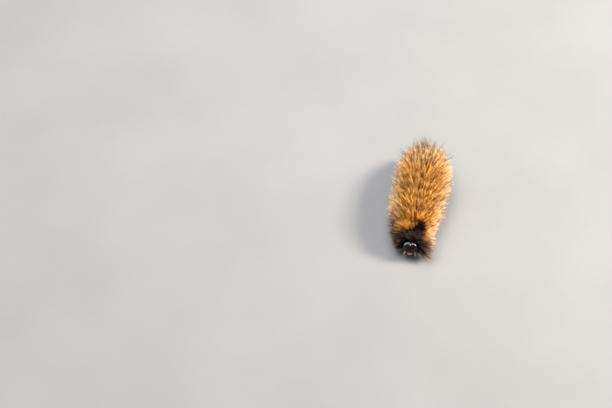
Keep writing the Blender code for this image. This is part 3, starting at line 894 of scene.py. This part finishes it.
makeTrueLegs()
print("legs made")

coat = {
    "length": [(0.00, 1.9), (0.08, 2.6), (0.20, 3.3), (0.45, 4.0), (0.70, 4.2), (0.88, 3.5), (1.00, 2.3)],
    # how much longer the flank's hairs are on the larva's left and on its right, from head to tail
    "leftLength": [
        (0.00, 2.10), (0.05, 1.72), (0.11, 1.02), (0.18, 0.78), (0.30, 0.82), (0.42, 0.81),
        (0.55, 0.93), (0.75, 0.99), (1.00, 1.00),
    ],
    "rightLength": [
        (0.00, 1.25), (0.10, 1.10), (0.20, 1.10), (0.30, 1.12), (0.45, 1.05), (0.60, 1.02), (1.00, 1.00),
    ],
    "lean": [
        (0.00, -44), (0.07, -24), (0.15, -4), (0.25, 14), (0.45, 26), (0.75, 36), (0.88, 50),
        (0.95, 66), (1.00, 82),
    ],
    "crownLean": 26.0,        # the collar's top hairs stand up and leave the crown of the head bare
    "crownEnd": 3.0,
    "headClear": 1.05,        # how near the head's hairs come to it, as a share of its half sizes
    "edge": 124.0,            # degrees from the ridge where the coat gives way to the belly
    "fade": 40.0,
    "fill": 1.2,
    "front": 0.02,            # where the first hairs grow
    "bellyLength": 0.5,
    "rootDepth": 0.08,
    "bendShare": (0.4, 1.6),
    "widthShare": (0.8, 1.2),
    "floor": 0.10,
    "floorSoft": 0.35,
    "patch": 0.003,           # each tuft's patch on the OFBake map
    "margin": 0.01,
    "wartTufts": 27,
    "wartSpiral": 2.4,        # the angle from one tuft on a wart to the next
    "wartShuffle": 0.3,
    "wartRim": 0.8,
    "wartFan": (20.0, 12.0),
    "wartLong": (0.80, 1.12),
    "betweenTufts": 5200,
    "betweenStart": 0.1,
    "betweenFan": 9.0,
    "betweenLong": (0.60, 1.02),
    "raggedAlong": 0.12,
    "raggedTurn": 0.06,
    "toneSpread": 0.30,
    "darkTufts": 0.17,
    "ashTufts": 0.85,
    "collarContrast": 0.8,    # how much more the collar's tufts differ in tone
    "blackTone": -0.16,       # the black spot's tone, below that of the darkest tuft
    "rimWidth": 0.8,          # the bright tufts behind the black spot
    "rimTone": 1.1,
    "rimShare": (0.6, 1.1),
    "frontTone": 0.16,        # how much paler the tufts behind the collar are
    "frontEnd": (5.0, 10.0),
    "seed": 11,
}
# How the hairs of one kind of tuft grow. Radius, pinch and stray say how the tuft's hairs stand
# together; stray and bend are angles; stations and taper are along the hair.
gingerTuft = {
    "hairs": (3, 6), "radius": 0.055, "pinch": 0.7, "stray": 1.1, "sway": 0.05,
    "long": (0.70, 1.04), "bend": 34.0, "halfWidth": 0.030, "toneStray": 0.08,
    "stations": [0.0, 0.2, 0.42, 0.64, 0.84, 1.0], "taper": [0.8, 1.0, 0.95, 0.8, 0.5],
}
downTuft = {
    "hairs": (2, 3), "radius": 0.16, "pinch": 0.0, "stray": 9.0, "sway": 0.12,
    "long": (0.6, 1.05), "bend": 52.0, "halfWidth": 0.013, "toneStray": 0.15,
    "stations": [0.0, 0.35, 0.7, 1.0], "taper": [1.0, 0.9, 0.6],
    "count": 4500, "fan": 16.0, "share": (0.6, 1.0),
}
blackTuft = {
    **gingerTuft,
    "hairs": (1, 2), "radius": 0.05, "pinch": 0.5, "stray": 1.6, "long": (0.9, 1.05),
    "toneStray": 0.10, "count": 620, "fan": 16.0, "share": (0.86, 1.04),
    "along": (4.0, 23.28), "spread": 29.0, "tone": (0.0, 0.25),
    "wisps": (16.5, 21.0), "wispLong": 0.50, "wispTone": 0.4, "wispPale": 0.5,
}
# The coat's pieces: from one segment's start to another's, and the side of the back.
coatPieces = [
    ("coatCollar", "T1", "T2", 0), ("coatThoraxLeft", "T2", "A1", 1), ("coatThoraxRight", "T2", "A1", -1),
    ("coatFrontLeft", "A1", "A4", 1), ("coatFrontRight", "A1", "A4", -1),
    ("coatMiddleLeft", "A4", "A7", 1), ("coatMiddleRight", "A4", "A7", -1),
    ("coatRear", "A7", "A9", 0), ("coatTail", "A9", None, 0),
]
downPieces = [("downFront", "T2", "A3", 0), ("downMiddle", "A3", "A7", 0), ("downRear", "A7", None, 0)]


def coatCover(turn):
    # 1 on the back and flanks, 0 on the belly
    over = (np.abs(turn) - math.radians(coat["edge"])) / math.radians(coat["fade"])
    return 0.5 * (1 + np.cos(np.pi * np.clip(over + 0.5, 0.0, 1.0)))


def normalised(vectors):
    return vectors / np.linalg.norm(vectors, axis=-1, keepdims=True)


def clearOfHead(points):
    # pushes points out of the head, so that the collar's hairs lie round it
    centre, half = head["centre"], head["half"] * coat["headClear"]
    ray = (points - centre) / half
    size = np.linalg.norm(ray, axis=-1, keepdims=True)
    return np.where(size < 1.0, centre + ray / np.maximum(size, 0.05) * half, points)


def bentPaths(kind, root, out, toward, length, lean, bend):
    # the points along each hair, which starts leaning by lean from out and bends toward a side
    share = np.array(kind["stations"])[None, :]
    start, bend, length = (lean - bend / 2)[:, None], bend[:, None], length[:, None]
    height = (np.sin(start + bend * share) - np.sin(start)) / bend * length
    shift = (np.cos(start) - np.cos(start + bend * share)) / bend * length
    return root[:, None] + out[:, None] * height[..., None] + toward * shift[..., None]


def overFloor(kind, points):
    # hairs that would reach the floor lie down along it
    over = points[..., 2] - coat["floor"]
    soft = coat["floorSoft"] ** 2 * np.array(kind["stations"])[None, :]
    points[..., 2] = coat["floor"] + 0.5 * (over + np.sqrt(over**2 + soft))
    return points


def hairFaces(rings):
    # the corners of one three-sided hair, each with its side and station, and its faces' sizes
    corners, sizes = [], []
    for r in range(rings - 1):
        for k in range(3):
            corners += [(k, r, k), (k + 1, r, (k + 1) % 3), (k + 1, r + 1, (k + 1) % 3), (k, r + 1, k)]
            sizes.append(4)
    for k in range(3):
        corners += [(k, rings - 1, k), (k + 1, rings - 1, (k + 1) % 3), (k + 0.5, rings, 0)]
        sizes.append(3)
    corners += [(2, 0, 2), (1, 0, 1), (0, 0, 0)]
    sizes.append(3)
    corners = np.array(corners)
    return (corners[:, 1] * 3 + corners[:, 2]).astype(int), corners[:, :2], np.array(sizes)


def buildHairs(name, kind, points, patches, marks, draw):
    # three-sided tapering hairs as one mesh, each tuft with its own small patch of the OFBake map
    count, stations = points.shape[:2]
    rings = stations - 1
    halfWidth = kind["halfWidth"] * draw.uniform(*coat["widthShare"], count)
    way = normalised(np.gradient(points, axis=1))
    # a random way for each hair, which its three sides are turned to
    spin = draw.uniform(0, 2 * np.pi, count)
    across = np.stack([np.cos(spin), np.sin(spin), np.full(count, 0.3)], -1)
    side = normalised(np.cross(way, across[:, None]))
    other = np.cross(way, side)
    angles = (np.arange(3) * 2 * np.pi / 3)[:, None]
    reach = halfWidth[:, None, None, None] * np.array(kind["taper"])[None, :, None, None]
    circle = np.cos(angles) * side[:, :rings, None] + np.sin(angles) * other[:, :rings, None]
    verts = (points[:, :rings, None] + circle * reach).reshape(count, rings * 3, 3)
    verts = np.concatenate([verts, points[:, -1:]], 1)
    perHair = rings * 3 + 1
    corners, shares, sizes = hairFaces(rings)

    mesh = bpy.data.meshes.new(name)
    mesh.vertices.add(count * perHair)
    mesh.vertices.foreach_set("co", verts.ravel())
    mesh.loops.add(count * len(corners))
    loops = corners[None, :] + (np.arange(count) * perHair)[:, None]
    mesh.loops.foreach_set("vertex_index", loops.ravel().astype(np.int32))
    mesh.polygons.add(count * len(sizes))
    starts = np.concatenate([[0], np.cumsum(sizes)[:-1]])
    starts = starts[None, :] + (np.arange(count) * len(corners))[:, None]
    mesh.polygons.foreach_set("loop_start", starts.ravel().astype(np.int32))
    mesh.polygons.foreach_set("use_smooth", np.ones(count * len(sizes), bool))
    mesh.update(calc_edges=True)
    mesh.validate()

    layer = mesh.uv_layers.new(name="OFBake")
    inPatch = (shares / (3, rings) - 0.5) * coat["patch"]
    layer.data.foreach_set("uv", (patches[:, None] + inPatch[None]).ravel().astype(np.float32))
    along = np.concatenate([np.repeat(np.array(kind["stations"])[:rings], 3), [1.0]])
    addMark(mesh, "reach", np.tile(along, count))
    for mark, values in marks.items():
        addMark(mesh, mark, np.repeat(values, perHair))
    print(name, "made:", count, "hairs")
    return newObject(name, mesh)


def scatterTufts(count, fan, long, draw):
    # tufts spread over the whole trunk, each with its along, turn, fan to the side and to the tail,
    # and share of the full length
    fan = math.radians(fan)
    reach = math.radians(coat["edge"] + coat["fade"] / 2)
    return np.stack([
        draw.uniform(coat["betweenStart"], trunk["length"], count), draw.uniform(-reach, reach, count),
        draw.uniform(-fan, fan, count), draw.uniform(-fan, fan, count), draw.uniform(*long, count),
    ], -1)


def placeTufts():
    # the tufts on the warts and those between them
    draw = np.random.default_rng(coat["seed"])
    tufts = []
    fanAside, fanBack = np.radians(coat["wartFan"])
    for along, turn, size in wartSpots():
        for n in range(coat["wartTufts"]):
            ring = math.sqrt((n + 0.5) / coat["wartTufts"])
            spin = n * coat["wartSpiral"] + draw.uniform(-coat["wartShuffle"], coat["wartShuffle"])
            aside, back = ring * math.sin(spin), ring * math.cos(spin)
            rim = size * coat["wartRim"]
            tufts.append((along + back * rim, turn + aside * rim / float(bodyRadius(along)),
                          fanAside * aside, fanBack * back, draw.uniform(*coat["wartLong"])))
    scattered = scatterTufts(coat["betweenTufts"], coat["betweenFan"], coat["betweenLong"], draw)
    tufts = np.concatenate([np.array(tufts), scattered])
    keep = draw.uniform(0, 1, len(tufts)) < coatCover(tufts[:, 1]) * coat["fill"]
    return tufts[keep & (tufts[:, 0] > coat["front"]) & (tufts[:, 0] < trunk["length"])]


def coatMarks(along, turn, draw):
    # the markings with ragged edges, and each tuft's own tone
    count = len(along)
    marks = markingsAt(along + draw.normal(0, coat["raggedAlong"], count),
                       turn + draw.normal(0, coat["raggedTurn"], count))
    patch = marks.pop("patch")
    rim = markingsAt(along - coat["rimWidth"], turn)["patch"] * (1 - patch)
    tone = np.clip(draw.normal(0.5, coat["toneSpread"], count), 0, 1)
    tone = np.where(draw.uniform(0, 1, count) < coat["darkTufts"], 0.0, tone)
    tone = np.clip(0.5 + (tone - 0.5) * (1 + coat["collarContrast"] * marks["dark"]), 0, 1)
    tone = np.maximum(tone, coat["rimTone"] * rim * draw.uniform(*coat["rimShare"], count))
    tone += coat["frontTone"] * (1 - marks["dark"]) * (1 - fadeIn(along, *coat["frontEnd"]))
    marks["tone"] = tone + (coat["blackTone"] - tone) * patch
    marks["ash"] = marks["ash"] * (draw.uniform(0, 1, count) < coat["ashTufts"])
    return marks


def flankLength(share, turn):
    # the coat is fuller on some stretches of each flank
    left, right = (smoothThrough(coat[side], share) for side in ("leftLength", "rightLength"))
    return 1 + (np.where(turn > 0, left, right) - 1) * np.abs(np.sin(turn))


def unwrap(around, down):
    # shares of the way around a shape, from -0.5 to 0.5, and down it, as a place on its unwrap
    inside = 1 - 2 * coat["margin"]
    return np.stack([0.5 + inside * around, coat["margin"] + inside * down], -1)


def unwrapTrunk(along, turn):
    return unwrap(turn / (2 * np.pi), along / trunk["length"])


def growHairs(name, tufts, kind, marks, draw):
    # the hairs of many tufts: where each grows, which way, how long, and how it bends
    along, turn, fanAside, fanBack, long = tufts.T
    hairs = draw.integers(kind["hairs"][0], kind["hairs"][1] + 1, len(along))
    tuft = np.repeat(np.arange(len(along)), hairs)
    count = len(tuft)
    ring, spin = np.sqrt(draw.uniform(0, 1, count)) * kind["radius"], draw.uniform(0, 2 * np.pi, count)
    aside, back = ring * np.cos(spin), ring * np.sin(spin)
    place = np.clip(along[tuft] + back, coat["front"], trunk["length"])
    angle = turn[tuft] + aside / bodyRadius(place)
    across = np.stack([np.cos(angle), np.zeros(count), -np.sin(angle)], -1)
    root = trunkPoint(place, angle, bodyRadius(place) - coat["rootDepth"])
    stray = math.radians(kind["stray"])
    twist = fanAside[tuft] + draw.normal(0, stray, count)
    out = normalised(normalised(outward(angle)) + across * np.sin(twist)[:, None])
    share = place / trunk["length"]
    lean = smoothThrough(coat["lean"], share)
    lean += coat["crownLean"] * np.maximum(0.0, np.cos(angle)) * (1 - fadeIn(place, 0.0, coat["crownEnd"]))
    lean = np.radians(lean) + fanBack[tuft] + draw.normal(0, stray, count)
    length = smoothThrough(coat["length"], share) * long[tuft] * draw.uniform(*kind["long"], count)
    cover = coat["bellyLength"] + (1 - coat["bellyLength"]) * coatCover(angle)
    length *= flankLength(share, angle) * cover
    bend = np.radians(kind["bend"]) * draw.uniform(*coat["bendShare"], len(along))[tuft]
    points = bentPaths(kind, root, out, tailward, length, lean, bend)

    # each hair sways aside a little and drifts to the middle of its tuft
    stations = np.array(kind["stations"])[None, :, None]
    sway = draw.normal(0, kind["sway"], len(along))[tuft] + draw.normal(0, kind["sway"] / 2, count)
    drift = -(across * aside[:, None] + tailward * back[:, None]) * kind["pinch"]
    points += across[:, None] * stations**2 * (sway * length)[:, None, None] + drift[:, None] * stations
    points = overFloor(kind, clearOfHead(points))
    marks = {mark: values[tuft] for mark, values in marks.items()}
    marks["tone"] = np.clip(marks["tone"] + draw.normal(0, kind["toneStray"], count), coat["blackTone"], 1)
    return buildHairs(name, kind, points, unwrapTrunk(along, turn)[tuft], marks, draw)


def makeCoat(pieces, tufts, kind, seed):
    for index, (name, first, last, side) in enumerate(pieces):
        start, end = segmentStart(first), segmentStart(last) if last else trunk["length"]
        mine = (tufts[:, 0] >= start) & (tufts[:, 0] < end)
        if side:
            mine &= tufts[:, 1] * side >= 0
        draw = np.random.default_rng(seed + index)
        marks = coatMarks(tufts[mine, 0], tufts[mine, 1], draw)
        piece = growHairs(name, tufts[mine], kind, marks, draw)
        settle(piece, [bristleMaterial], "collar_coat" if name == "coatCollar" else "coat")


def makeDown():
    # fine soft hairs that soften the coat's edge behind the collar
    draw = np.random.default_rng(coat["seed"] + 2)
    tufts = scatterTufts(downTuft["count"], downTuft["fan"], downTuft["share"], draw)
    makeCoat(downPieces, tufts, downTuft, coat["seed"] + 200)


def makeBlackHairs():
    # black hairs among the ginger ones on the back, which lengthen to grey-brown wisps at the tail
    draw = np.random.default_rng(coat["seed"] + 1)
    count = blackTuft["count"]
    tufts = scatterTufts(count, blackTuft["fan"], blackTuft["share"], draw)
    tufts[:, 0] = draw.uniform(*blackTuft["along"], count)
    tufts[:, 1] = draw.normal(0, math.radians(blackTuft["spread"]), count)
    wisp = fadeIn(tufts[:, 0], *blackTuft["wisps"])
    tufts[:, 1] *= 1 + wisp
    tufts[:, 4] *= 1 + blackTuft["wispLong"] * wisp
    tone = draw.uniform(*blackTuft["tone"], count) + blackTuft["wispTone"] * wisp
    marks = {"tone": tone, "dark": 1 - blackTuft["wispPale"] * wisp, "pale": wisp, "ash": wisp}
    settle(growHairs("coatBlackHairs", tufts, blackTuft, marks, draw), [bristleMaterial], "collar_coat")


# Single short hairs on the face, as aside and up on the head, and on the outer side of every foot
# and leg, where they grow between two shares of the way down.
faceHair = {
    "spots": [
        (0.18, 0.75), (0.42, 0.68), (0.62, 0.52), (0.30, 0.42), (0.50, 0.22), (0.70, 0.20), (0.16, 0.08),
        (0.34, -0.10), (0.52, -0.24), (0.12, -0.36), (0.28, -0.46), (0.50, -0.52), (0.86, 0.16),
        (0.90, -0.20),
    ],
    "rootDepth": 0.04, "long": (0.45, 0.95), "lean": 35.0, "bend": 50.0, "halfWidth": 0.012,
    "toward": (0.0, -0.4, -1.0), "stations": downTuft["stations"], "taper": downTuft["taper"],
}
footHair = {
    "proleg": (26, (0.30, 0.80)), "leg": (14, (0.10, 0.85)), "halfArc": 110, "rootShare": 0.9,
    "long": (0.35, 0.80), "lean": 40.0, "bend": 40.0, "halfWidth": 0.013,
    "toward": (0.0, 0.0, -1.0), "stations": downTuft["stations"], "taper": downTuft["taper"],
}
shortHair = {"leanShare": (0.5, 1.2), "bendShare": (0.5, 1.5), "tone": (0.2, 0.8)}


def growShortHairs(name, kind, root, out, patches, marks, draw):
    count = len(root)
    marks["tone"] = draw.uniform(*shortHair["tone"], count)
    lean = np.radians(kind["lean"]) * draw.uniform(*shortHair["leanShare"], count)
    bend = np.radians(kind["bend"]) * draw.uniform(*shortHair["bendShare"], count)
    length = draw.uniform(*kind["long"], count)
    points = bentPaths(kind, root, out, normalised(np.array(kind["toward"])), length, lean, bend)
    points = overFloor(kind, points) if name == "footHairs" else points
    settle(buildHairs(name, kind, points, patches, marks, draw), [bristleMaterial], "coat")


def makeFaceHairs():
    draw = np.random.default_rng(coat["seed"] + 3)
    aside, up = np.array([(side * aside, up) for aside, up in faceHair["spots"] for side in (-1, 1)]).T
    root = headSurface(aside, up, -faceHair["rootDepth"])
    out = normalised((root - head["centre"]) / head["half"] ** 2)
    # the head's own unwrap is its longitude and latitude
    patches = unwrap(np.arctan2(out[:, 0], -out[:, 1]) / (2 * np.pi), 0.5 + np.arcsin(out[:, 2]) / np.pi)
    ones, none = np.ones(len(root)), np.zeros(len(root))
    marks = {"dark": ones, "pale": none, "ash": none}
    growShortHairs("faceHairs", faceHair, root, out, patches, marks, draw)


def prolegPath(start, sole):
    return lambda share: start.lerp(sole, share)


def makeFootHairs():
    draw = np.random.default_rng(coat["seed"] + 4)
    limbs = [(prolegPath(start, sole), side, proleg["shape"], footHair["proleg"])
             for _, side, start, sole in prolegFeet()]
    limbs += [(trueLegPath(segment, side), side, trueLeg["shape"], footHair["leg"])
              for segment in trueLeg["segments"] for side in (-1, 1)]
    roots, ways = [], []
    for path, side, shape, (count, stretch) in limbs:
        for share in draw.uniform(*stretch, count):
            angle = math.radians(draw.uniform(-1, 1) * footHair["halfArc"])
            way = np.array((side * math.cos(angle), math.sin(angle), 0.0))
            radius = float(np.interp(share, *np.array(shape).T))
            roots.append(np.array(path(share)) + way * radius * footHair["rootShare"])
            ways.append(way)
    root = np.array(roots)
    along, turn = trunkPlace(root)
    marks = markingsAt(along, turn)
    marks.pop("patch")
    growShortHairs("footHairs", footHair, root, np.array(ways), unwrapTrunk(along, turn), marks, draw)


makeBlackHairs()
makeCoat(coatPieces, placeTufts(), gingerTuft, coat["seed"] + 100)
makeDown()
makeFaceHairs()
makeFootHairs()
print("coat made")

# Matt painted board: plain and pale, with a cloudiness too faint to see as a pattern.
boardFinish = {
    "mottle": {"Scale": 1 / (25 * mm), "Detail": 5.0}, "colours": [(0.3, "#82858b"), (0.7, "#888b91")],
    "shader": {"Roughness": 0.75},
}
stage = {"floorSize": 3.0, "sky": "#f4f1ec", "skyStrength": 0.42, "lightAim": (0.0, 0.0, 0.004)}


def makeFloor():
    floor = startPiece("floor", bpy.ops.mesh.primitive_plane_add, size=stage["floorSize"])
    endEdit(floor)
    floor.data.materials.append(makeMottled("mattBoard", boardFinish))


lights = [
    # name, place in metres, width and height, watts, colour, and whether only polished pieces see it
    ("keyLight", (0.29, 0.10, 0.24), (0.10, 0.10), 3.2, "#fff0da", False),
    ("skyLight", (-0.10, 0.10, 0.38), (0.40, 0.30), 2.6, "#fcf8f2", False),
    ("gleamCard", (-0.03, 0.12, 0.36), (0.60, 0.60), 13.5, "#bcd4ff", True),
    ("leftGleamCard", (-0.30, 0.13, 0.12), (0.34, 0.24), 5.5, "#c4dcea", True),
    ("glintCard", (0.335, 0.02, 0.19), (0.11, 0.11), 4.0, "#fff0da", True),
]


def makeLights():
    polished = bpy.data.collections.new("polishedPieces")
    for name in ("headCapsule", "stemmata", "mandibleLeft", "mandibleRight"):
        polished.objects.link(bpy.data.objects[name])
    for name, place, size, watts, colour, gleams in lights:
        data = bpy.data.lights.new(name, "AREA")
        data.shape = "RECTANGLE"
        data.size, data.size_y = size
        data.energy = watts
        data.color = toLinear(colour)[:3]
        light = newObject(name, data)
        light.location = place
        light.visible_camera = False
        light.visible_diffuse = not gleams
        if gleams:
            light.light_linking.receiver_collection = polished
        light.rotation_euler = facing(Vector(place) - Vector(stage["lightAim"]))
    world = bpy.data.worlds.new("studio")
    world.use_nodes = True
    background = world.node_tree.nodes["Background"]
    background.inputs["Color"].default_value = toLinear(stage["sky"])
    background.inputs["Strength"].default_value = stage["skyStrength"]
    bpy.context.scene.world = world
    bpy.context.scene.view_settings.view_transform = "Standard"


camera = {
    "lens": 96.0, "sensor": 36.0, "azimuth": 9.83, "elevation": 48.0, "distance": 0.3320,
    "target": (-0.02292, -0.00353, 0.0), "clip": (0.01, 20.0),
}


def makeCamera():
    data = bpy.data.cameras.new("photoCamera")
    data.lens = camera["lens"]
    data.sensor_width = camera["sensor"]
    data.clip_start, data.clip_end = camera["clip"]
    turned, raised = math.radians(camera["azimuth"]), math.radians(camera["elevation"])
    level = math.cos(raised)
    back = Vector((math.sin(turned) * level, -math.cos(turned) * level, math.sin(raised)))
    piece = newObject("photoCamera", data)
    piece.location = Vector(camera["target"]) + back * camera["distance"]
    piece.rotation_euler = facing(back)
    bpy.context.scene.camera = piece


makeFloor()
makeLights()
makeCamera()
print("stage made")
